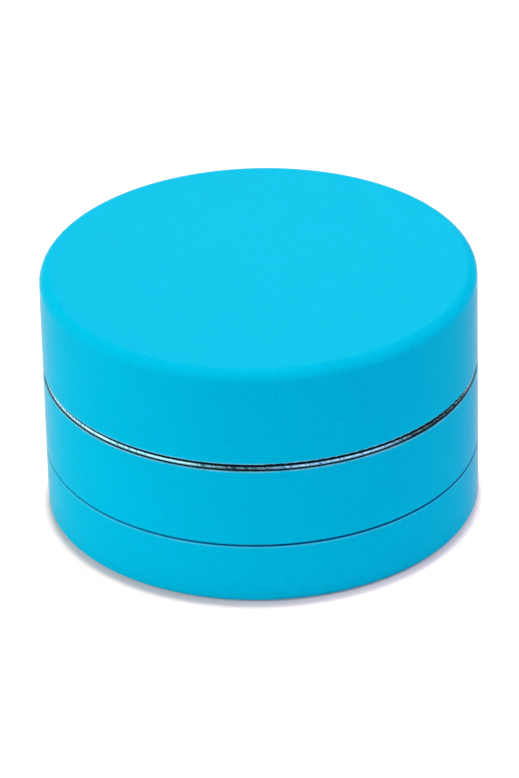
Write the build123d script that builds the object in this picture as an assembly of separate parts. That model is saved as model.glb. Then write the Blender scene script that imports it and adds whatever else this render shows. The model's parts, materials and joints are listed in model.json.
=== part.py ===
"""Twist-action pill crusher in coated and bare aluminium: a toothed lid turns on a toothed plate,
crushed tablet falls through the plate onto a sieve, and powder collects in the base cup.

Millimetres, +Z up, origin at the centre of the underside. Every height is a z in that frame, with the
crusher closed and standing on its base. One function makes each sub-part, or each group of equal ones.
"""

import math
import os

from build123d import *

# ---- outer form
LID_R = 31.5            # outer radius of the lid
BODY_R = 31.5           # outer radius of the sieve chamber and the base cup
FLANGE_R = 31.3         # outer radius of the grind plate's flange
FLANGE_BEVEL = 0.2      # how far the flange's bevelled edge leans in at its top
TOP_Z = 37.2            # top face of the lid
LID_Z = 22.47           # lower edge of the lid's skirt
FLANGE_Z = 22.04        # top of the grind plate's bare flange, and of its floor
FLANGE_T = 0.38         # height of the flange's bare edge
CHAMBER_TOP_Z = 21.44   # top rim of the sieve chamber
CHAMBER_Z = 9.4         # shoulder of the sieve chamber
CUP_TOP_Z = 9.27        # top rim of the base cup
TOP_FILLET = 1.6        # rounding round the top of the lid
FOOT_FILLET = 0.7       # rounding round the bottom of the base cup
LID_EDGE = 0.25         # rounding round the lower edge of the lid
EDGE = 0.15             # small rounding along the other seams
SEAT_GAP = 0.02         # between faces that rest on each other
FIT_GAP = 0.05          # between a pocket and the piece in it
BREAK = 0.3             # chamfer on a plain turned edge
SMALL_BREAK = 0.2       # chamfer on a small piece
HOLE_SPARE = 0.1        # spare depth at the end of a blind hole

# ---- threads, both right-handed and of one form
PITCH = 1.8
ROOT_R = 28.0           # male root
CREST_R = 28.7          # male crest
BORE_R = 29.0           # female root
BORE_CREST_R = 28.3     # female crest
RIDGE_BASE = 0.9        # width of a ridge at its root
RIDGE_CREST = 0.4       # width of a ridge at its crest
RIDGE_SINK = 0.25       # how far a ridge is sunk into its wall
THREAD_TURNS = 1.45
SKIRT_DROP = 5.2        # how far a male skirt reaches below its rim
SKIRT_GAP = 0.3         # under a male skirt
SKIRT_LEAD = 0.35       # plain length under the ridge on a male skirt

# ---- seal rings
SEAL_SECTION = 0.5      # section radius
SEAL_R = 28.53          # centre line
SEAL_BORE_R = 29.3      # counterbore that holds a seal
SEAL_DEPTH = 1.1

# ---- grinding chamber
NECK_R = 28.25          # outside of the grind plate's neck
NECK_IN_R = 26.0
NECK_TOP_Z = 31.6
NECK_LEAD = 0.5         # lead-in chamfer for the lid
NECK_FILLET = 0.8       # inside, where the neck meets the floor
FLOOR_T = 2.6
FLANGE_SEAT = 0.8       # how far inside the flange's edge its seat ends
PLATE_SKIRT_R = 26.2    # inside of the plate's skirt
LID_PLATE_Z = 32.2      # underside of the lid's tooth plate
LID_PLATE_T = 2.5
TIP_GAP = 1.0           # between tooth tips and the face opposite
PLATE_TEETH = ((10.0, 6, 0.0), (18.0, 10, 18.0))    # ring radius, teeth, first angle
LID_TEETH = ((14.0, 8, 22.5), (22.2, 12, 15.0))
TOOTH_RADIAL = 3.0      # diagonal of a tooth along the radius
TOOTH_ALONG = 4.2       # diagonal of a tooth along its travel
TOOTH_DRAFT = 1.5       # degrees
DROP_HOLES = ((14.0, 10, 18.0), (22.2, 18, 10.0))   # ring radius, holes, first angle
DROP_HOLE_R = 1.7

# ---- centre boss, magnets and screws
BOSS_R = 6.4
BOSS_BREAK = 0.4
MAGNET_R = 5.0
MAGNET_T = 3.0
MAGNET_GAP = 0.4        # between the two magnet faces
MAGNET_SINK = 0.05      # how far a magnet's face lies below its boss
PLATE_BOSS_Z = 26.9     # end of the grind plate's boss
SCREW_R = 1.5
SCREW_HEAD_R = 2.8
SCREW_HEAD_T = 1.65
SCREW_TIP = 0.4         # chamfer at the tip
SOCKET_R = 1.0          # corner radius of the hexagon socket
SOCKET_DEPTH = 1.1
SCREW_HOLE_R = 1.55
MAGNET_HOLE_R = 1.6
PLATE_SCREW_L = 6.2
LID_SCREW_L = 8.4

# ---- lid
LID_BORE_R = 28.6
SPIGOT_R = 4.5          # spigot that centres the tooth plate
SPIGOT_DROP = 1.9
LID_HOLE_TOP_Z = 36.2
LID_PLATE_R = 28.5
PIN_RING_R = 18.0
PIN_COUNT = 3
PIN_R = 1.25
PIN_Z = (32.9, 36.0)    # ends of a drive pin
PIN_GAP = 0.02
SLIP_IN_R = 29.3        # slip ring in the skirt's groove
SLIP_OUT_R = 31.0
SLIP_TOP_Z = 23.6
SLIP_BREAK = 0.1        # chamfer under the slip ring
GROOVE_PLAY = 0.08

# ---- sieve
LEDGE_Z = 10.4
LEDGE_R = 24.8          # bore through the ledge and the skirt below it
CHAMBER_BORE_R = 27.2
SIEVE_R = 27.0
SIEVE_RING_R = 24.9     # inside of the sieve rings
SIEVE_RING_T = 1.0
MESH_T = 0.3
MESH_R = 26.5
MESH_SEAT = 0.02
SNAP_SECTION = 0.55
SNAP_RING_R = 27.0      # centre line
SNAP_ARC = 322          # degrees of a full turn
SNAP_GROOVE_R = 27.7
SNAP_GROOVE_H = 1.4

# ---- base cup
CUP_FLOOR_T = 1.8
CUP_BORE_R = 27.0
CUP_BORE_FILLET = 1.8
FOOT_IN_R = 26.0        # the cup stands on the ring outside this radius
FOOT_RECESS = 0.4


def lathe(points):
    """A solid turned about Z from its outline, given as (radius, z) corners."""
    corners = [(radius, 0, z) for radius, z in points]
    outline = Polyline(*corners, close=True)
    return revolve(make_face(outline), Axis.Z)


def cylinder(radius, low, high):
    """A cylinder on the Z axis from z low to z high."""
    return Pos(0, 0, low) * extrude(Circle(radius), high - low)


def ring(inner, outer, low, high):
    """A plain ring on the Z axis."""
    return cylinder(outer, low, high) - cylinder(inner, low, high)


def around(shape, radius, count, first):
    """Copies of shape, made at the origin with +X outward, spaced evenly on a circle."""
    step = 360 / count
    return [Rot(0, 0, first + step * i) * Pos(radius, 0, 0) * shape for i in range(count)]


def edges_at(shape, radius, z, reach=0.02):
    """The circular edges of shape at that radius and height."""
    circles = shape.edges().filter_by(GeomType.CIRCLE)
    return [
        edge
        for edge in circles
        if abs(edge.radius - radius) < reach and abs(edge.arc_center.Z - z) < reach
    ]


def ridge(wall_r, crest_r, start_z):
    """One helical thread ridge on a wall, outward or inward, starting at start_z on +X."""
    outward = 1 if crest_r > wall_r else -1
    base_r = wall_r - outward * RIDGE_SINK
    slope = (RIDGE_BASE - RIDGE_CREST) / abs(crest_r - wall_r)
    base_w = RIDGE_BASE + slope * RIDGE_SINK
    corners = [
        (base_r, 0, -base_w / 2),
        (crest_r, 0, -RIDGE_CREST / 2),
        (crest_r, 0, RIDGE_CREST / 2),
        (base_r, 0, base_w / 2),
    ]
    section = make_face(Polyline(*corners, close=True))
    path = Helix(PITCH, PITCH * THREAD_TURNS, wall_r)
    return Pos(0, 0, start_z) * sweep(section, path, is_frenet=True)


def tooth(length, up):
    """A diamond tooth standing on z 0, or hanging from it, with a little draft."""
    corners = [
        (TOOTH_RADIAL / 2, 0),
        (0, TOOTH_ALONG / 2),
        (-TOOTH_RADIAL / 2, 0),
        (0, -TOOTH_ALONG / 2),
    ]
    face = make_face(Polyline(*corners, close=True))
    solid = extrude(face, length, taper=TOOTH_DRAFT)
    return solid if up else mirror(solid, Plane.XY)


def magnet(face_z, up):
    """A ring magnet with a countersunk hole. Its countersunk face is at face_z."""
    head_depth = SCREW_HEAD_T + FIT_GAP
    wide = SCREW_HEAD_R + FIT_GAP
    points = [
        (MAGNET_HOLE_R, -MAGNET_T),
        (MAGNET_R, -MAGNET_T),
        (MAGNET_R, 0),
        (wide, 0),
        (MAGNET_HOLE_R, -head_depth),
    ]
    solid = lathe(points)
    solid = chamfer(edges_at(solid, MAGNET_R, 0) + edges_at(solid, MAGNET_R, -MAGNET_T), SMALL_BREAK)
    return Pos(0, 0, face_z) * (solid if up else mirror(solid, Plane.XY))


def countersunk_screw(face_z, length, up):
    """A countersunk screw with a hexagon socket. The flat of its head is at face_z."""
    points = [
        (0, 0),
        (SCREW_HEAD_R - FIT_GAP, 0),
        (SCREW_R, -SCREW_HEAD_T),
        (SCREW_R, SCREW_TIP - length),
        (SCREW_R - SCREW_TIP, -length),
        (0, -length),
    ]
    socket = Pos(0, 0, -SOCKET_DEPTH) * extrude(RegularPolygon(SOCKET_R, 6), SOCKET_DEPTH)
    solid = lathe(points) - socket
    return Pos(0, 0, face_z) * (solid if up else mirror(solid, Plane.XY))


def seal_ring(top_z):
    """An O-ring in the counterbore under the rim at top_z."""
    return Pos(0, 0, top_z - SEAL_DEPTH / 2) * Torus(SEAL_R, SEAL_SECTION)


def thread_start(rim_z):
    """Height at which both ridges of a thread start, below the rim that it closes on."""
    return rim_z - SKIRT_DROP + SKIRT_LEAD + RIDGE_BASE / 2


def male_ridge(rim_z):
    """The ridge on a male skirt."""
    return ridge(ROOT_R, CREST_R, thread_start(rim_z))


def female_ridge(rim_z):
    """The ridge in a bore, half a turn round from the male one, so that it lies between its turns."""
    return Rot(0, 0, 180) * ridge(BORE_R, BORE_CREST_R, thread_start(rim_z))


def base_cup():
    """Coated cup with a smooth bowl, a female thread and a seat for the seal."""
    thread_top_z = CUP_TOP_Z - SEAL_DEPTH
    thread_low_z = CUP_TOP_Z - SKIRT_DROP - SKIRT_GAP
    points = [
        (0, FOOT_RECESS),
        (FOOT_IN_R - FOOT_RECESS, FOOT_RECESS),
        (FOOT_IN_R, 0),
        (BODY_R, 0),
        (BODY_R, CUP_TOP_Z),
        (SEAL_BORE_R, CUP_TOP_Z),
        (SEAL_BORE_R, thread_top_z),
        (BORE_R, thread_top_z),
        (BORE_R, thread_low_z),
        (CUP_BORE_R, thread_low_z),
        (CUP_BORE_R, CUP_FLOOR_T),
        (0, CUP_FLOOR_T),
    ]
    cup = lathe(points)
    cup = fillet(edges_at(cup, BODY_R, 0), FOOT_FILLET)
    cup = fillet(edges_at(cup, CUP_BORE_R, CUP_FLOOR_T), CUP_BORE_FILLET)
    cup = fillet(edges_at(cup, BODY_R, CUP_TOP_Z), EDGE)
    cup = chamfer(edges_at(cup, SEAL_BORE_R, CUP_TOP_Z), EDGE)
    return cup + female_ridge(CUP_TOP_Z)


def sieve_chamber():
    """Coated barrel: female thread above, ledge and snap-ring groove inside, male skirt below."""
    thread_low_z = CHAMBER_TOP_Z - SKIRT_DROP - SKIRT_GAP
    groove_z = snap_ring_z() - SNAP_GROOVE_H / 2
    points = [
        (LEDGE_R, CUP_TOP_Z - SKIRT_DROP),
        (ROOT_R, CUP_TOP_Z - SKIRT_DROP),
        (ROOT_R, CHAMBER_Z),
        (BODY_R, CHAMBER_Z),
        (BODY_R, CHAMBER_TOP_Z),
        (SEAL_BORE_R, CHAMBER_TOP_Z),
        (SEAL_BORE_R, CHAMBER_TOP_Z - SEAL_DEPTH),
        (BORE_R, CHAMBER_TOP_Z - SEAL_DEPTH),
        (BORE_R, thread_low_z),
        (CHAMBER_BORE_R, thread_low_z),
        (CHAMBER_BORE_R, groove_z + SNAP_GROOVE_H),
        (SNAP_GROOVE_R, groove_z + SNAP_GROOVE_H),
        (SNAP_GROOVE_R, groove_z),
        (CHAMBER_BORE_R, groove_z),
        (CHAMBER_BORE_R, LEDGE_Z),
        (LEDGE_R, LEDGE_Z),
    ]
    barrel = lathe(points)
    barrel = fillet(edges_at(barrel, BODY_R, CHAMBER_Z), EDGE)
    barrel = fillet(edges_at(barrel, BODY_R, CHAMBER_TOP_Z), EDGE)
    barrel = chamfer(edges_at(barrel, SEAL_BORE_R, CHAMBER_TOP_Z), EDGE)
    barrel = chamfer(edges_at(barrel, ROOT_R, CUP_TOP_Z - SKIRT_DROP), BREAK)
    barrel = barrel + male_ridge(CUP_TOP_Z)
    return barrel + female_ridge(CHAMBER_TOP_Z)


def sieve_levels():
    """Heights of the sieve stack: undersides of lower ring, mesh and upper ring, then its top."""
    low = LEDGE_Z + SEAT_GAP
    mesh = low + SIEVE_RING_T + MESH_SEAT
    upper = mesh + MESH_T + MESH_SEAT
    return low, mesh, upper, upper + SIEVE_RING_T


def snap_ring_z():
    """Height of the snap ring's centre line."""
    return sieve_levels()[3] + SNAP_SECTION + SEAT_GAP


def sieve_ring(low):
    """One of the two flat rings that clamp the mesh."""
    solid = ring(SIEVE_RING_R, SIEVE_R, low, low + SIEVE_RING_T)
    return chamfer(edges_at(solid, SIEVE_RING_R, low + SIEVE_RING_T), BREAK)


def sieve_mesh():
    """The disc of woven wire cloth, as its envelope."""
    low = sieve_levels()[1]
    return cylinder(MESH_R, low, low + MESH_T)


def snap_ring():
    """A round-wire ring, open at one side, that snaps into the chamber's groove."""
    section = Plane.XZ * Pos(SNAP_RING_R, snap_ring_z()) * Circle(SNAP_SECTION)
    return Rot(0, 0, (360 - SNAP_ARC) / 2) * revolve(section, Axis.Z, SNAP_ARC)


def grind_plate():
    """Bare plate: floor with drop holes and teeth, neck, thin flange, boss, and a male skirt below."""
    floor_z = FLANGE_Z - FLOOR_T
    skirt_z = CHAMBER_TOP_Z - SKIRT_DROP
    seat_r = FLANGE_R - FLANGE_SEAT
    points = [
        (0, floor_z),
        (PLATE_SKIRT_R, floor_z),
        (PLATE_SKIRT_R, skirt_z),
        (ROOT_R, skirt_z),
        (ROOT_R, CHAMBER_TOP_Z + SEAT_GAP),
        (seat_r, CHAMBER_TOP_Z + SEAT_GAP),
        (seat_r, FLANGE_Z - FLANGE_T),
        (FLANGE_R, FLANGE_Z - FLANGE_T),
        (FLANGE_R - FLANGE_BEVEL, FLANGE_Z),
        (NECK_R, FLANGE_Z),
        (NECK_R, NECK_TOP_Z),
        (NECK_IN_R, NECK_TOP_Z),
        (NECK_IN_R, FLANGE_Z),
        (0, FLANGE_Z),
    ]
    plate = lathe(points)
    plate = chamfer(edges_at(plate, NECK_R, NECK_TOP_Z), NECK_LEAD)
    plate = chamfer(edges_at(plate, NECK_IN_R, NECK_TOP_Z), BREAK)
    plate = fillet(edges_at(plate, NECK_IN_R, FLANGE_Z), NECK_FILLET)
    plate = chamfer(edges_at(plate, ROOT_R, skirt_z), BREAK)
    boss = cylinder(BOSS_R, FLANGE_Z, PLATE_BOSS_Z)
    boss = chamfer(edges_at(boss, BOSS_R, PLATE_BOSS_Z), BOSS_BREAK)
    solids = [boss]
    length = LID_PLATE_Z - TIP_GAP - FLANGE_Z
    for radius, count, first in PLATE_TEETH:
        solids += around(Pos(0, 0, FLANGE_Z) * tooth(length, up=True), radius, count, first)
    cuts = [cylinder(MAGNET_R + FIT_GAP, PLATE_BOSS_Z - MAGNET_T - MAGNET_SINK, PLATE_BOSS_Z)]
    cuts += [cylinder(SCREW_HOLE_R, PLATE_BOSS_Z - MAGNET_SINK - PLATE_SCREW_L - HOLE_SPARE, PLATE_BOSS_Z)]
    for radius, count, first in DROP_HOLES:
        cuts += around(cylinder(DROP_HOLE_R, floor_z, FLANGE_Z), radius, count, first)
    plate = plate + solids - cuts
    return plate + male_ridge(CHAMBER_TOP_Z)


def lid_boss_z():
    """Lower end of the boss on the lid's tooth plate."""
    return PLATE_BOSS_Z + MAGNET_GAP


def lid_tooth_plate():
    """Bare disc with hanging teeth and a boss, centred on the lid's spigot and keyed by pins."""
    top_z = LID_PLATE_Z + LID_PLATE_T
    pocket_z = lid_boss_z() + MAGNET_T + MAGNET_SINK
    disc = cylinder(LID_PLATE_R, LID_PLATE_Z, top_z)
    disc = chamfer(edges_at(disc, LID_PLATE_R, LID_PLATE_Z), BREAK)
    disc = chamfer(edges_at(disc, LID_PLATE_R, top_z), BREAK)
    boss = cylinder(BOSS_R, lid_boss_z(), LID_PLATE_Z)
    boss = chamfer(edges_at(boss, BOSS_R, lid_boss_z()), BOSS_BREAK)
    solids = [boss]
    length = LID_PLATE_Z - TIP_GAP - FLANGE_Z
    for radius, count, first in LID_TEETH:
        solids += around(Pos(0, 0, LID_PLATE_Z) * tooth(length, up=False), radius, count, first)
    cuts = [cylinder(MAGNET_R + FIT_GAP, lid_boss_z(), pocket_z)]
    cuts += [cylinder(MAGNET_HOLE_R, pocket_z, top_z)]
    cuts += [cylinder(SPIGOT_R + FIT_GAP, top_z - SPIGOT_DROP - HOLE_SPARE, top_z)]
    cuts += around(cylinder(PIN_R + PIN_GAP, PIN_Z[0] - HOLE_SPARE, top_z), PIN_RING_R, PIN_COUNT, 0)
    return disc + solids - cuts


def lid_shell():
    """Coated cap with a rounded top, a skirt over the neck, a spigot and the slip ring's groove."""
    ceiling_z = LID_PLATE_Z + LID_PLATE_T + SEAT_GAP
    points = [
        (0, ceiling_z - SPIGOT_DROP),
        (SPIGOT_R, ceiling_z - SPIGOT_DROP),
        (SPIGOT_R, ceiling_z),
        (LID_BORE_R, ceiling_z),
        (LID_BORE_R, LID_Z),
        (SLIP_IN_R - GROOVE_PLAY, LID_Z),
        (SLIP_IN_R - GROOVE_PLAY, SLIP_TOP_Z + SEAT_GAP),
        (SLIP_OUT_R + GROOVE_PLAY, SLIP_TOP_Z + SEAT_GAP),
        (SLIP_OUT_R + GROOVE_PLAY, LID_Z),
        (LID_R, LID_Z),
        (LID_R, TOP_Z),
        (0, TOP_Z),
    ]
    shell = lathe(points)
    shell = fillet(edges_at(shell, LID_R, TOP_Z), TOP_FILLET)
    shell = fillet(edges_at(shell, LID_R, LID_Z), LID_EDGE)
    shell = chamfer(edges_at(shell, LID_BORE_R, LID_Z), BREAK)
    pin_hole = cylinder(PIN_R + PIN_GAP, ceiling_z, PIN_Z[1] + HOLE_SPARE)
    cuts = [cylinder(SCREW_HOLE_R, ceiling_z - SPIGOT_DROP, LID_HOLE_TOP_Z)]
    cuts += around(pin_hole, PIN_RING_R, PIN_COUNT, 0)
    return shell - cuts


def lid_drive_pins():
    """Dowel pins that carry the twist from the lid to its tooth plate."""
    low, high = PIN_Z
    pin = cylinder(PIN_R, low, high)
    pin = chamfer(edges_at(pin, PIN_R, low) + edges_at(pin, PIN_R, high), SMALL_BREAK)
    return Compound(children=around(pin, PIN_RING_R, PIN_COUNT, 0))


def slip_ring():
    """Low-friction ring that the lid turns on. It stands out of the skirt and rests on the flange."""
    low = FLANGE_Z + SEAT_GAP
    solid = ring(SLIP_IN_R, SLIP_OUT_R, low, SLIP_TOP_Z)
    return chamfer(edges_at(solid, SLIP_IN_R, low) + edges_at(solid, SLIP_OUT_R, low), SLIP_BREAK)


def all_parts():
    """Every sub-part by its node name."""
    low, _, upper, _ = sieve_levels()
    plate_face_z = PLATE_BOSS_Z - MAGNET_SINK
    lid_face_z = lid_boss_z() + MAGNET_SINK
    return {
        "base_cup": base_cup(),
        "base_seal_ring": seal_ring(CUP_TOP_Z),
        "sieve_chamber": sieve_chamber(),
        "sieve_lower_ring": sieve_ring(low),
        "sieve_mesh": sieve_mesh(),
        "sieve_upper_ring": sieve_ring(upper),
        "sieve_snap_ring": snap_ring(),
        "plate_seal_ring": seal_ring(CHAMBER_TOP_Z),
        "grind_plate": grind_plate(),
        "plate_magnet": magnet(plate_face_z, up=True),
        "plate_magnet_screw": countersunk_screw(plate_face_z, PLATE_SCREW_L, up=True),
        "lid_slip_ring": slip_ring(),
        "lid_tooth_plate": lid_tooth_plate(),
        "lid_magnet": magnet(lid_face_z, up=False),
        "lid_centre_screw": countersunk_screw(lid_face_z, LID_SCREW_L, up=False),
        "lid_drive_pins": lid_drive_pins(),
        "lid_shell": lid_shell(),
    }


os.makedirs("parts", exist_ok=True)
for name, shape in all_parts().items():
    export_step(shape, f"parts/{name}.step")
    print(name, len(shape.solids()), "solid(s),", round(shape.volume), "mm3")
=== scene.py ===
"""The looks of a twist-action pill crusher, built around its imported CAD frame. Metres, +Z up.

The CAD nodes keep their shapes and get finished materials. The sieve's wire cloth is woven here, wire by
wire, in place of the CAD disc. Then come a pale floor, soft studio lights and the camera.
"""

import json
import math

import bpy
from mathutils import Matrix, Vector


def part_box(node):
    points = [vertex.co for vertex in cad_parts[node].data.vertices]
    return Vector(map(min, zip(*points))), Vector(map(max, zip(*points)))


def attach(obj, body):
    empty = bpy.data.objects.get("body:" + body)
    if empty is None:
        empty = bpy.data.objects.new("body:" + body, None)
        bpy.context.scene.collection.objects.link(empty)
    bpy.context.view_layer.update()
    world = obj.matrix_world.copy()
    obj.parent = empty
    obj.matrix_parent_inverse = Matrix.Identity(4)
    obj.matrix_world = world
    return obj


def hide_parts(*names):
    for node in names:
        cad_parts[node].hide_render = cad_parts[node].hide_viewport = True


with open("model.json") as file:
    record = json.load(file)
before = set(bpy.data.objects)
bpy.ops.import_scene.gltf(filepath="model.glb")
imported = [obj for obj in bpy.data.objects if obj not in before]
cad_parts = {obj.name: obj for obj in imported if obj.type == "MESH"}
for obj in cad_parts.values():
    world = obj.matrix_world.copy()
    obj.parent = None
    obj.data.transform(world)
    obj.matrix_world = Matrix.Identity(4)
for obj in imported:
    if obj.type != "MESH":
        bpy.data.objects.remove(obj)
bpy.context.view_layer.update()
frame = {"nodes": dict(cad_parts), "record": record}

MM = 0.001

# ---- sizes read from the frame
LID_LOW, LID_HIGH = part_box("lid_shell")
CUP_LOW, CUP_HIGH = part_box("base_cup")
MESH_LOW, MESH_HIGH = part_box("sieve_mesh")
CHAMBER_TOP_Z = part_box("sieve_chamber")[1].z
OUTER_R = LID_HIGH.x
FLANGE_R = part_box("grind_plate")[1].x
FLANGE_LOW_Z = CHAMBER_TOP_Z + 0.22 * MM
FLANGE_HIGH_Z = CHAMBER_TOP_Z + 0.60 * MM
SEAM_Z = CUP_HIGH.z + 0.06 * MM
FLOOR_Z = CUP_LOW.z

# ---- colours of the finishes, linear: where there are two, the surface varies between them
COAT_COLOURS = (0.0, 0.334, 0.521, 1), (0.0, 0.408, 0.597, 1)
# painted highlights: pale lines along the seams' edges and the foot, also the colour of a few pale
# patches
PALE_HIGHLIGHT_COLOUR = (0.36, 0.62, 0.72, 1)
SPECK_COLOUR = (0.02, 0.10, 0.16, 1)
# painted shade in the seam over the cup
LOWER_SEAM_SHADE_COLOUR = (0.0, 0.085, 0.240, 1)
# painted shade under the flange and along the lid's lower edge
UPPER_SEAM_SHADE_COLOUR = (0.001, 0.010, 0.022, 1)
INSIDE_COLOURS = (0.66, 0.67, 0.69, 1), (0.78, 0.79, 0.81, 1)
METAL_COLOURS = (0.58, 0.60, 0.63, 1), (0.80, 0.81, 0.83, 1)
# painted reflections: the flange's strokes are dark blue and pale cyan instead of the grey of bare metal
STROKE_REFLECTION_COLOURS = (0.02, 0.12, 0.18, 1), (0.44, 0.70, 0.79, 1)
STEEL_COLOURS = (0.52, 0.52, 0.51, 1), (0.64, 0.64, 0.63, 1)
NICKEL_COLOURS = (0.60, 0.57, 0.52, 1), (0.70, 0.67, 0.62, 1)
POLYMER_COLOURS = (0.0015, 0.0015, 0.002, 1), (0.004, 0.004, 0.005, 1)
RUBBER_COLOURS = (0.014, 0.014, 0.014, 1), (0.03, 0.03, 0.031, 1)

# ---- roughness of the finishes: the least, and what the grain or marks add to it
COAT_ROUGH = (0.26, 0.12)
INSIDE_ROUGH = (0.16, 0.2)
METAL_ROUGH = 0.13
METAL_ROUGH_MARKS = 0.16
METAL_ROUGH_CLOUD = 0.12
METAL_ROUGH_STROKES = 0.3
STEEL_ROUGH = (0.16, 0.2)
NICKEL_ROUGH = (0.08, 0.1)
POLYMER_ROUGH = (0.35, 0.25)
RUBBER_ROUGH = (0.6, 0.2)
FLOOR_ROUGH = 0.9

# ---- other shader values
COAT_SPECULAR = 0.003
COAT_SHEEN = 0.8
COAT_SHEEN_ROUGH = 0.185
POLYMER_SPECULAR = 0.02

# ---- noise scales, in cycles per metre
TURN_FINE_SCALE = 14000.0       # lathe lines
TURN_BROAD_SCALE = 2600.0
STROKE_ROUND_SCALE = 2600.0     # slanted strokes: round the flange, up its edge, and along each stroke
STROKE_UP_SCALE = 3600.0
STROKE_LENGTH_SCALE = 420.0
CLOUD_SCALE = 160.0             # slow changes of tone in bare metal
SCUFF_SCALE = 2400.0
GRAIN_SCALE = 4000.0            # of the coating
MOTTLE_SCALE = 90.0
HIGHLIGHT_BREAK_SCALE = 260.0
PALE_PATCH_SCALE = 95.0
SPECK_SCALE = 190.0
POLISH_SCALE = 3000.0
RIPPLE_SCALE = 500.0
RUBBER_SCALE = 6000.0

# ---- full heights of the bumps
TURN_BUMP = 0.006 * MM
STROKE_BUMP = 0.05 * MM
SCUFF_BUMP = 0.002 * MM
GRAIN_BUMP = 0.03 * MM
POLISH_BUMP = 0.002 * MM
RIPPLE_BUMP = 0.01 * MM
POLYMER_BUMP = 0.01 * MM
RUBBER_BUMP = 0.01 * MM

# ---- lathe lines, and the slanted strokes on the flange's edge. A pair is where a ramp starts and ends.
TURN_STEEPNESS = 1.3            # height counts this much more than radius
TURN_BROAD_SHARE = 0.35
STROKE_SKIN = FLANGE_R - 0.6 * MM, FLANGE_R - 0.3 * MM
STROKE_CUT = (0.34, 0.57)       # noise values of the strokes' dark borders and of their bright middles, in painted reflection colours
STROKE_RAGGED = -0.2 * MM       # how far the noise moves the strokes' feet
# painted shade: the strokes turn dark at the foot of the flange's edge and under the lid at its top
STROKE_FOOT = FLANGE_LOW_Z - 0.08 * MM, FLANGE_LOW_Z + 0.10 * MM
STROKE_HEAD = FLANGE_HIGH_Z - 0.05 * MM, FLANGE_HIGH_Z - 0.12 * MM

# ---- coating: where it ends, and its grain
COAT_SKIN = 2.0 * MM            # how far inside the outer wall the bare metal starts
FOOT_COAT = 0.45 * MM           # the coating also covers the underside, up to this height
TOP_COAT = 1.2 * MM             # and the lid's top, down to this depth
COAT_FADE = 0.02 * MM
GRAIN_RANGE = (0.3, 0.7)
GRAIN_SHARE = 0.75              # of the coating's tint, against the mottling

# ---- coating: painted highlights along its edges, pale patches, dust specks, and painted shade in its seams
GROOVE_REACH = 0.24 * MM        # half the width of the painted shade line in the seam over the cup
GROOVE_SKIN = OUTER_R - 0.45 * MM, OUTER_R - 0.3 * MM
GROOVE_LEFT = 0.35              # strength of that painted shade on the left, where the lights fill the seam
GROOVE_RIGHT = 0.95             # and from the front round to the right
HIGHLIGHT_REACH = 0.22 * MM
HIGHLIGHT_EDGES = (                  # height, half width and strength of each painted highlight line along an edge
    (LID_LOW.z, 0.38 * MM, 1.0),
    (CHAMBER_TOP_Z, HIGHLIGHT_REACH, 1.0),
    (CUP_HIGH.z - GROOVE_REACH, HIGHLIGHT_REACH, 0.25),
    (FLOOR_Z + 0.15 * MM, HIGHLIGHT_REACH, 0.4),
)
# noise that breaks up the painted highlight lines, and the strength of all the pale marks
HIGHLIGHT_BREAK_RANGE = (0.22, 0.60)
PALE_STRENGTH = 0.6
PALE_PATCH_REACH = 1.2 * MM          # pale patches lie this far either side of the chamber's top
PALE_PATCH_RANGE = (0.60, 0.70)
PALE_PATCH_STRENGTH = 0.35
SPECK_CHANCE = (0.955, 0.96)
SPECK_SIZE = (0.035, 0.015)
SPECK_STRENGTH = 0.6
# painted shade: a dark ring on the chamber's rim under the flange, and a dark band at the lid's lower
# edge
UPPER_SHADE_DEPTH = 0.1 * MM
UPPER_SHADE_LEVEL = (0.0, 0.2)
UPPER_SHADE_OUTER = FLANGE_R + 0.06 * MM, FLANGE_R
UPPER_SHADE_INNER = FLANGE_R - 0.8 * MM, FLANGE_R - 0.6 * MM
LIP_TOP = LID_LOW.z + 0.15 * MM, LID_LOW.z + 0.10 * MM
LIP_FOOT = CHAMBER_TOP_Z + 0.1 * MM, LID_LOW.z
UPPER_SHADE_STRENGTH = 0.95

# ---- sieve cloth
WIRE_PITCH = 0.85 * MM
WIRE_SIDES = 6
WIRE_STEPS = 2                  # points of a wire for each wire that it crosses
WIRE_CLEAR = 0.005 * MM         # between crossing wires, and between the cloth and its envelope

# ---- camera, in front and a little above
CAMERA_DISTANCE = 25.37 * OUTER_R
CAMERA_ELEVATION = math.radians(29.8)
CAMERA_ROLL = math.radians(-1.43)
CAMERA_TARGET = Vector((-0.23 * MM, 0, 16.78 * MM))
CAMERA_LENS = 254.5             # in mm, as the sensor's width is
CAMERA_SENSOR = 36.0
CAMERA_CLIP = (0.01, 20.0)

# ---- floor and world
FLOOR_SIZE = 0.5
FLOOR_CELLS = 4
FLOOR_NEAR = (0.93, 0.77, 0.755, 1)     # warm, against the cyan that the crusher throws on it
FLOOR_FAR = (0.82, 0.80, 0.83, 1)
FLOOR_REACH = 1.10 * OUTER_R, 1.25 * OUTER_R
WHITE = (1, 1, 1, 1)
WORLD_LIGHT = 0.08              # what falls on the object
WORLD_SEEN = 1.0                # what the camera sees beyond the floor

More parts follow.
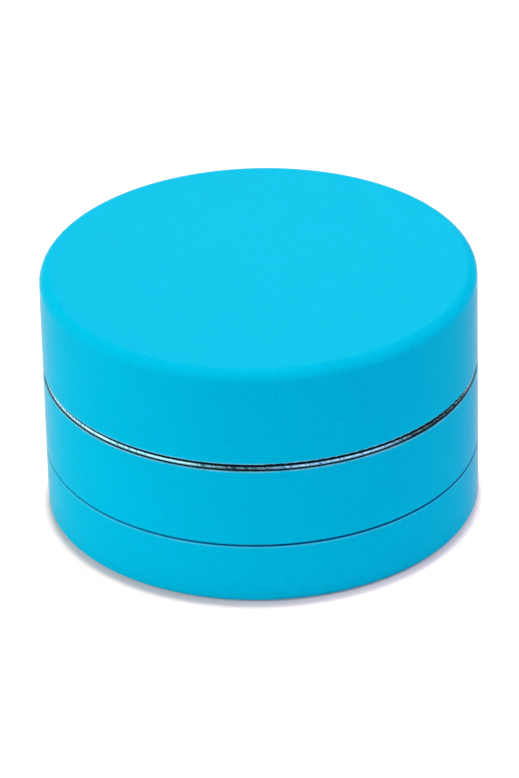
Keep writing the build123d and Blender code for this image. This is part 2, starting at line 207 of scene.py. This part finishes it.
# ---- lights
KEY_TINT = (1.0, 0.98, 0.88)
FRESH = (1.0, 1.03, 0.99)
COOL = (1.0, 1.0, 1.17)
LIGHTS = (                      # name, azimuth, elevation, distance, size, watts and colour
    ("overhead_key", 178, 87.8, 6.0, (0.21, 0.21), 236.0, KEY_TINT),
    ("left_softbox", -63, 24, 0.8, (0.92, 0.58), 3.5, FRESH),
    ("left_back_softbox", -112, 14, 0.8, (0.85, 0.50), 3.0, FRESH),
    ("right_softbox", 39, 21, 0.8, (0.94, 0.32), 1.55, COOL),
    ("right_high_softbox", 97, 46, 0.8, (0.6, 0.35), 3.1, COOL),
    ("back_softbox", 180, 31, 0.9, (0.45, 0.3), 2.5, KEY_TINT),
    ("low_left_fill", -50, 5, 0.8, (0.55, 0.1), 0.95, FRESH),
    ("low_front_fill", 4, 5, 0.8, (0.55, 0.1), 0.86, COOL),
)


# ---------------------------------------------------------------- node helpers
# Sockets go by number where several share a name. A Mix node takes numbers at 2 and 3, and colours at
# 6 and 7.

def new_material(name):
    """A material with an empty node tree, and its Principled shader wired to the output."""
    material = bpy.data.materials.new(name)
    material.use_nodes = True
    tree = material.node_tree
    tree.nodes.clear()
    output = tree.nodes.new("ShaderNodeOutputMaterial")
    shader = tree.nodes.new("ShaderNodeBsdfPrincipled")
    tree.links.new(shader.outputs["BSDF"], output.inputs["Surface"])
    return material, tree, shader


def feed(tree, socket, value):
    """Fills an input socket with a constant, or links another node's output to it."""
    if isinstance(value, bpy.types.NodeSocket):
        tree.links.new(value, socket)
    else:
        socket.default_value = value


def node(tree, kind, values=None, **settings):
    """A node with its properties set and its input sockets, by name or number, filled from values."""
    made = tree.nodes.new(kind)
    for key, value in settings.items():
        setattr(made, key, value)
    for socket, value in (values or {}).items():
        feed(tree, made.inputs[socket], value)
    return made


def maths(tree, operation, first, second=0.0):
    """The output of a Math node."""
    return node(tree, "ShaderNodeMath", {0: first, 1: second}, operation=operation).outputs[0]


def add(tree, first, second):
    """first + second"""
    return maths(tree, "ADD", first, second)


def times(tree, first, second):
    """first x second"""
    return maths(tree, "MULTIPLY", first, second)


def varied(tree, value, least, added):
    """least where value is 0, and more than that by added where it is 1."""
    return add(tree, times(tree, value, added), least)


def mix_colour(tree, factor, first, second):
    """The colour first where factor is 0, second where it is 1."""
    made = node(tree, "ShaderNodeMix", {0: factor, 6: first, 7: second}, data_type="RGBA")
    return made.outputs[2]


def mix_value(tree, factor, first, second):
    """The number first where factor is 0, second where it is 1."""
    return node(tree, "ShaderNodeMix", {0: factor, 2: first, 3: second}, data_type="FLOAT").outputs[0]


def ramp(tree, value, low, high):
    """value remapped so that low gives 0 and high gives 1, clamped."""
    return node(tree, "ShaderNodeMapRange", {0: value, 1: low, 2: high, 3: 0.0, 4: 1.0}).outputs[0]


def near(tree, value, centre, reach):
    """1 where value is centre, falling to 0 at reach either side."""
    away = maths(tree, "ABSOLUTE", add(tree, value, -centre))
    return ramp(tree, away, reach, 0.0)


def combine(tree, x, y):
    """A vector from two numbers."""
    return node(tree, "ShaderNodeCombineXYZ", {0: x, 1: y}).outputs[0]


def noise(tree, vector, scale, detail=2.0, roughness=0.5):
    """The value of a noise texture, scaled in cycles per metre."""
    values = {"Vector": vector, "Scale": scale, "Detail": detail, "Roughness": roughness}
    return node(tree, "ShaderNodeTexNoise", values).outputs[0]


def bump(tree, height, distance, strength, normal=None):
    """A normal bent by a height, whose full range is distance metres."""
    values = {"Height": height, "Distance": distance, "Strength": strength}
    if normal is not None:
        values["Normal"] = normal
    return node(tree, "ShaderNodeBump", values).outputs[0]


def dress(tree, shader, colour, roughness, normal):
    """Fills the three inputs of the shader that vary over every finish."""
    feed(tree, shader.inputs["Base Color"], colour)
    feed(tree, shader.inputs["Roughness"], roughness)
    feed(tree, shader.inputs["Normal"], normal)


class Place:
    """Where a point is on the object. Every CAD node's object sits at the origin."""

    def __init__(self, tree):
        self.vector = node(tree, "ShaderNodeTexCoord").outputs["Object"]
        parts = node(tree, "ShaderNodeSeparateXYZ", {0: self.vector})
        self.x, self.y, self.z = parts.outputs
        squares = add(tree, times(tree, self.x, self.x), times(tree, self.y, self.y))
        self.radius = maths(tree, "SQRT", squares)
        self.angle = maths(tree, "ARCTAN2", self.y, self.x)


# ---------------------------------------------------------------- materials

def turned_marks(tree, place):
    """Fine lathe lines: noise of radius and height only, so that it runs round the axis."""
    rings = combine(tree, place.radius, times(tree, place.z, TURN_STEEPNESS))
    fine = noise(tree, rings, TURN_FINE_SCALE, detail=1.0)
    broad = noise(tree, rings, TURN_BROAD_SCALE)
    return mix_value(tree, TURN_BROAD_SHARE, fine, broad)


def slanted_strokes(tree, place):
    """Short strokes that cross the flange's bare edge at a slant, left by its last turning cut."""
    along = times(tree, place.angle, FLANGE_R)
    round_flange = times(tree, along, STROKE_ROUND_SCALE)
    across = add(tree, round_flange, times(tree, place.z, STROKE_UP_SCALE))
    length = times(tree, add(tree, along, times(tree, place.z, -1.0)), STROKE_LENGTH_SCALE)
    return noise(tree, combine(tree, across, length), scale=1.0, roughness=0.6)


def bare_aluminium():
    """Machined aluminium with turning lines, faint handling scuffs and slightly uneven gloss."""
    material, tree, shader = new_material("bare_aluminium")
    place = Place(tree)
    marks = turned_marks(tree, place)
    strokes = slanted_strokes(tree, place)
    edge = ramp(tree, place.radius, *STROKE_SKIN)
    cloud = noise(tree, place.vector, CLOUD_SCALE, detail=4.0)
    scuff = noise(tree, place.vector, SCUFF_SCALE, detail=6.0, roughness=0.65)
    ragged = add(tree, place.z, times(tree, strokes, STROKE_RAGGED))
    # painted shade at the foot and the top of the flange's edge, and strokes in painted reflection
    # colours
    ends = times(tree, ramp(tree, ragged, *STROKE_FOOT), ramp(tree, place.z, *STROKE_HEAD))
    rim_tone = times(tree, ramp(tree, strokes, *STROKE_CUT), ends)
    rim = mix_colour(tree, rim_tone, *STROKE_REFLECTION_COLOURS)
    colour = mix_colour(tree, edge, mix_colour(tree, cloud, *METAL_COLOURS), rim)
    gloss = add(tree, times(tree, marks, METAL_ROUGH_MARKS), times(tree, cloud, METAL_ROUGH_CLOUD))
    gloss = mix_value(tree, edge, gloss, times(tree, strokes, METAL_ROUGH_STROKES))
    normal = bump(tree, marks, TURN_BUMP, strength=0.8)
    normal = bump(tree, times(tree, strokes, edge), STROKE_BUMP, strength=0.6, normal=normal)
    normal = bump(tree, scuff, SCUFF_BUMP, strength=0.5, normal=normal)
    dress(tree, shader, colour, add(tree, gloss, METAL_ROUGH), normal)
    shader.inputs["Metallic"].default_value = 1.0
    return material


def bare_mask(tree, place):
    """1 on the machined faces inside the lid, the chamber and the cup, 0 on their coated outside."""
    inside = ramp(tree, place.radius, OUTER_R - COAT_SKIN, OUTER_R - COAT_SKIN - COAT_FADE)
    above = ramp(tree, place.z, FLOOR_Z + FOOT_COAT, FLOOR_Z + FOOT_COAT + COAT_FADE)
    below = ramp(tree, place.z, LID_HIGH.z - TOP_COAT, LID_HIGH.z - TOP_COAT - COAT_FADE)
    return times(tree, inside, times(tree, above, below))


def highlight_and_patch_mask(tree, place):
    """Painted highlights: a broken pale line along each seam's edges and at the foot, and a few pale
    patches.
    """
    edges = 0.0
    for height, reach, strength in HIGHLIGHT_EDGES:
        line = times(tree, near(tree, place.z, height, reach), strength)
        edges = maths(tree, "MAXIMUM", edges, line)
    highlight_breaks = ramp(tree, noise(tree, place.vector, HIGHLIGHT_BREAK_SCALE, detail=5.0, roughness=0.65), *HIGHLIGHT_BREAK_RANGE)
    by_chamber_top = near(tree, place.z, CHAMBER_TOP_Z, PALE_PATCH_REACH)
    patch = ramp(tree, noise(tree, place.vector, PALE_PATCH_SCALE), *PALE_PATCH_RANGE)
    pale_patches = times(tree, times(tree, by_chamber_top, patch), PALE_PATCH_STRENGTH)
    return maths(tree, "MAXIMUM", times(tree, edges, highlight_breaks), pale_patches)


def lower_seam_shade_mask(tree, place):
    """Painted shade: a dark line in the fine seam over the cup, fainter on the left where the lights fill
    it.
    """
    away = maths(tree, "ABSOLUTE", add(tree, place.z, -SEAM_Z))
    line = ramp(tree, away, GROOVE_REACH, GROOVE_REACH / 2)
    outside = ramp(tree, place.radius, *GROOVE_SKIN)
    side = ramp(tree, place.x, -OUTER_R, 0.0)
    return times(tree, times(tree, line, outside), mix_value(tree, side, GROOVE_LEFT, GROOVE_RIGHT))


def upper_seam_shade_mask(tree, place):
    """Painted shade: a dark ring on the chamber's rim under the flange, and a dark band at the lid's
    lower edge.
    """
    level = ramp(tree, near(tree, place.z, CHAMBER_TOP_Z, UPPER_SHADE_DEPTH), *UPPER_SHADE_LEVEL)
    ring = times(tree, ramp(tree, place.radius, *UPPER_SHADE_OUTER), ramp(tree, place.radius, *UPPER_SHADE_INNER))
    lip = times(tree, ramp(tree, place.z, *LIP_TOP), ramp(tree, place.z, *LIP_FOOT))
    return times(tree, maths(tree, "MAXIMUM", times(tree, level, ring), lip), UPPER_SHADE_STRENGTH)


def specks(tree, place):
    """A very few fine dark specks of dust in the coating."""
    cells = node(tree, "ShaderNodeTexVoronoi", {"Vector": place.vector, "Scale": SPECK_SCALE})
    chance = node(tree, "ShaderNodeSeparateColor", {0: cells.outputs["Color"]}).outputs[0]
    chosen = ramp(tree, chance, *SPECK_CHANCE)
    return times(tree, chosen, ramp(tree, cells.outputs["Distance"], *SPECK_SIZE))


def soft_coat():
    """Soft-touch cyan coating: fine grain, faint mottling, no gloss but a pale bloom at grazing.

    Inside, where the coating stops, the same surface is bare turned aluminium.
    """
    material, tree, shader = new_material("soft_touch_cyan")
    place = Place(tree)
    grain = ramp(tree, noise(tree, place.vector, GRAIN_SCALE), *GRAIN_RANGE)
    mottle = noise(tree, place.vector, MOTTLE_SCALE, detail=3.0)
    coat = mix_colour(tree, mix_value(tree, GRAIN_SHARE, mottle, grain), *COAT_COLOURS)
    # painted highlights along the seams' edges and the foot, and pale patches beside the chamber's top
    coat = mix_colour(tree, times(tree, highlight_and_patch_mask(tree, place), PALE_STRENGTH), coat, PALE_HIGHLIGHT_COLOUR)
    coat = mix_colour(tree, times(tree, specks(tree, place), SPECK_STRENGTH), coat, SPECK_COLOUR)
    # painted shade in the seam over the cup
    coat = mix_colour(tree, lower_seam_shade_mask(tree, place), coat, LOWER_SEAM_SHADE_COLOUR)
    # painted shade under the flange and along the lid's lower edge
    coat = mix_colour(tree, upper_seam_shade_mask(tree, place), coat, UPPER_SEAM_SHADE_COLOUR)
    marks = turned_marks(tree, place)
    bare = bare_mask(tree, place)
    colour = mix_colour(tree, bare, coat, mix_colour(tree, marks, *INSIDE_COLOURS))
    coat_rough = varied(tree, grain, *COAT_ROUGH)
    roughness = mix_value(tree, bare, coat_rough, varied(tree, marks, *INSIDE_ROUGH))
    normal = bump(tree, grain, GRAIN_BUMP, strength=0.6)
    normal = bump(tree, times(tree, marks, bare), TURN_BUMP, strength=0.8, normal=normal)
    dress(tree, shader, colour, roughness, normal)
    feed(tree, shader.inputs["Metallic"], bare)
    shader.inputs["Specular IOR Level"].default_value = COAT_SPECULAR
    shader.inputs["Sheen Weight"].default_value = COAT_SHEEN
    shader.inputs["Sheen Roughness"].default_value = COAT_SHEEN_ROUGH
    return material


def stainless_steel():
    """Bright stainless with a fine random polish."""
    material, tree, shader = new_material("stainless_steel")
    polish = noise(tree, Place(tree).vector, POLISH_SCALE, detail=5.0)
    colour = mix_colour(tree, polish, *STEEL_COLOURS)
    normal = bump(tree, polish, POLISH_BUMP, strength=0.6)
    dress(tree, shader, colour, varied(tree, polish, *STEEL_ROUGH), normal)
    shader.inputs["Metallic"].default_value = 1.0
    return material


def nickel_plate():
    """Nickel plating on a magnet: warm, glossy, with the slight ripple of a tumbled blank."""
    material, tree, shader = new_material("nickel_plate")
    ripple = noise(tree, Place(tree).vector, RIPPLE_SCALE, detail=3.0)
    colour = mix_colour(tree, ripple, *NICKEL_COLOURS)
    normal = bump(tree, ripple, RIPPLE_BUMP, strength=0.5)
    dress(tree, shader, colour, varied(tree, ripple, *NICKEL_ROUGH), normal)
    shader.inputs["Metallic"].default_value = 1.0
    return material


def black_polymer():
    """Low-friction black polymer, turned, with a dull waxy gloss."""
    material, tree, shader = new_material("black_polymer")
    marks = turned_marks(tree, Place(tree))
    colour = mix_colour(tree, marks, *POLYMER_COLOURS)
    normal = bump(tree, marks, POLYMER_BUMP, strength=0.5)
    dress(tree, shader, colour, varied(tree, marks, *POLYMER_ROUGH), normal)
    shader.inputs["Specular IOR Level"].default_value = POLYMER_SPECULAR
    return material


def seal_rubber():
    """Matt black rubber with a fine moulded grain."""
    material, tree, shader = new_material("seal_rubber")
    grain = noise(tree, Place(tree).vector, RUBBER_SCALE, detail=4.0)
    colour = mix_colour(tree, grain, *RUBBER_COLOURS)
    normal = bump(tree, grain, RUBBER_BUMP, strength=0.6)
    dress(tree, shader, colour, varied(tree, grain, *RUBBER_ROUGH), normal)
    return material


def white_floor():
    """Matt pale paper, a little warmer close round the crusher."""
    material, tree, shader = new_material("white_floor")
    away = ramp(tree, Place(tree).radius, *FLOOR_REACH)
    feed(tree, shader.inputs["Base Color"], mix_colour(tree, away, FLOOR_NEAR, FLOOR_FAR))
    shader.inputs["Roughness"].default_value = FLOOR_ROUGH
    shader.inputs["Specular IOR Level"].default_value = 0.0
    return material


# ---------------------------------------------------------------- pieces

def finish_nodes():
    """Makes the materials and gives every CAD node the one that its record slot names."""
    materials = {
        "coated_aluminium": soft_coat(),
        "bare_aluminium": bare_aluminium(),
        "stainless_steel": stainless_steel(),
        "nickel_plated_magnet": nickel_plate(),
        "slip_polymer": black_polymer(),
        "seal_rubber": seal_rubber(),
    }
    for entry in frame["record"]["subparts"]:
        for slot in frame["nodes"][entry["node"]].material_slots:
            slot.material = materials[entry["material_slot"]]
    return materials


def wire_points(offset, row, reach, middle_z, swing):
    """The centre line of one wire as (along, offset, z), over and under the wires that it crosses."""
    half = math.sqrt(reach * reach - offset * offset)
    steps = int(half / WIRE_PITCH * WIRE_STEPS)
    points = []
    for step in range(-steps, steps + 1):
        phase = math.pi * (step / WIRE_STEPS + row)
        points.append((step * WIRE_PITCH / WIRE_STEPS, offset, middle_z + swing * math.cos(phase)))
    return points


def tube(vertices, faces, points, turned, radius):
    """Adds a closed tube, its faces outwards, along points that run along X, or along Y if turned."""
    first = len(vertices)
    for along, offset, z in points:
        for side in range(WIRE_SIDES):
            turn = 2 * math.pi * side / WIRE_SIDES
            wide = offset + radius * math.cos(turn)
            high = z + radius * math.sin(turn)
            vertices.append((-wide, along, high) if turned else (along, wide, high))
    for ring in range(len(points) - 1):
        for side in range(WIRE_SIDES):
            low = first + ring * WIRE_SIDES + side
            beside = first + ring * WIRE_SIDES + (side + 1) % WIRE_SIDES
            faces.append((low, beside, beside + WIRE_SIDES, low + WIRE_SIDES))
    faces.append(tuple(reversed(range(first, first + WIRE_SIDES))))
    last = first + (len(points) - 1) * WIRE_SIDES
    faces.append(tuple(range(last, last + WIRE_SIDES)))


def weave_sieve(material):
    """Plain-woven wire cloth in the space of the CAD disc, riding with the chamber."""
    reach = MESH_HIGH.x
    middle_z = (MESH_LOW.z + MESH_HIGH.z) / 2
    # where wires cross, their centre lines lie a quarter of the cloth's height above and below its middle
    quarter = (MESH_HIGH.z - MESH_LOW.z) / 4
    radius = quarter - WIRE_CLEAR
    vertices, faces = [], []
    rows = int(reach / WIRE_PITCH)
    for turned in (False, True):
        swing = -quarter if turned else quarter
        for row in range(-rows, rows + 1):
            points = wire_points(row * WIRE_PITCH, row, reach - radius, middle_z, swing)
            if len(points) > 1:
                tube(vertices, faces, points, turned, radius)
    mesh = bpy.data.meshes.new("sieve_cloth")
    mesh.from_pydata(vertices, [], faces)
    mesh.shade_smooth()
    mesh.materials.append(material)
    cloth = bpy.data.objects.new("sieve_cloth", mesh)
    bpy.context.scene.collection.objects.link(cloth)
    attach(cloth, "chamber")
    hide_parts("sieve_mesh")


# ---------------------------------------------------------------- studio

def add_floor():
    """A wide pale floor under the crusher."""
    bpy.ops.mesh.primitive_grid_add(
        x_subdivisions=FLOOR_CELLS,
        y_subdivisions=FLOOR_CELLS,
        size=FLOOR_SIZE,
        location=(0, 0, FLOOR_Z),
    )
    floor = bpy.context.object
    floor.name = "floor"
    floor.data.materials.append(white_floor())


def add_world():
    """A dim even surround that looks white to the camera."""
    world = bpy.data.worlds.new("studio")
    bpy.context.scene.world = world
    world.use_nodes = True
    tree = world.node_tree
    seen = node(tree, "ShaderNodeLightPath").outputs["Is Camera Ray"]
    surround = tree.nodes["Background"]
    surround.inputs["Color"].default_value = WHITE
    feed(tree, surround.inputs["Strength"], mix_value(tree, seen, WORLD_LIGHT, WORLD_SEEN))


def softbox(name, azimuth, elevation, distance, size, power, colour):
    """A soft rectangular light facing the crusher. Azimuth 0 is in front and 90 on its right."""
    turn, rise = math.radians(azimuth), math.radians(elevation)
    aim = Vector((0, 0, LID_HIGH.z / 2))
    away = Vector((math.sin(turn) * math.cos(rise), -math.cos(turn) * math.cos(rise), math.sin(rise)))
    data = bpy.data.lights.new(name, "AREA")
    data.shape = "RECTANGLE"
    data.size, data.size_y = size
    data.energy = power
    data.color = colour
    light = bpy.data.objects.new(name, data)
    bpy.context.scene.collection.objects.link(light)
    light.location = aim + away * distance
    light.rotation_euler = (-away).to_track_quat("-Z", "Y").to_euler()
    light.visible_camera = False


def add_lights():
    """A far overhead key, and softboxes all round that leave the front and the right back dim."""
    for row in LIGHTS:
        softbox(*row)


def add_camera():
    """The camera, rolled a little about its own axis."""
    back = Vector((0, -math.cos(CAMERA_ELEVATION), math.sin(CAMERA_ELEVATION)))
    level_up = Vector((0, math.sin(CAMERA_ELEVATION), math.cos(CAMERA_ELEVATION)))
    right = math.cos(CAMERA_ROLL) * Vector((1, 0, 0)) + math.sin(CAMERA_ROLL) * level_up
    turned = Matrix((right, back.cross(right), back)).transposed().to_4x4()
    data = bpy.data.cameras.new("camera")
    data.lens = CAMERA_LENS
    data.sensor_width = CAMERA_SENSOR
    data.clip_start, data.clip_end = CAMERA_CLIP
    camera = bpy.data.objects.new("camera", data)
    bpy.context.scene.collection.objects.link(camera)
    camera.matrix_world = Matrix.Translation(CAMERA_TARGET + back * CAMERA_DISTANCE) @ turned
    bpy.context.scene.camera = camera


materials = finish_nodes()
weave_sieve(materials["stainless_steel"])
add_floor()
add_world()
add_lights()
add_camera()
bpy.context.scene.view_settings.view_transform = "Standard"
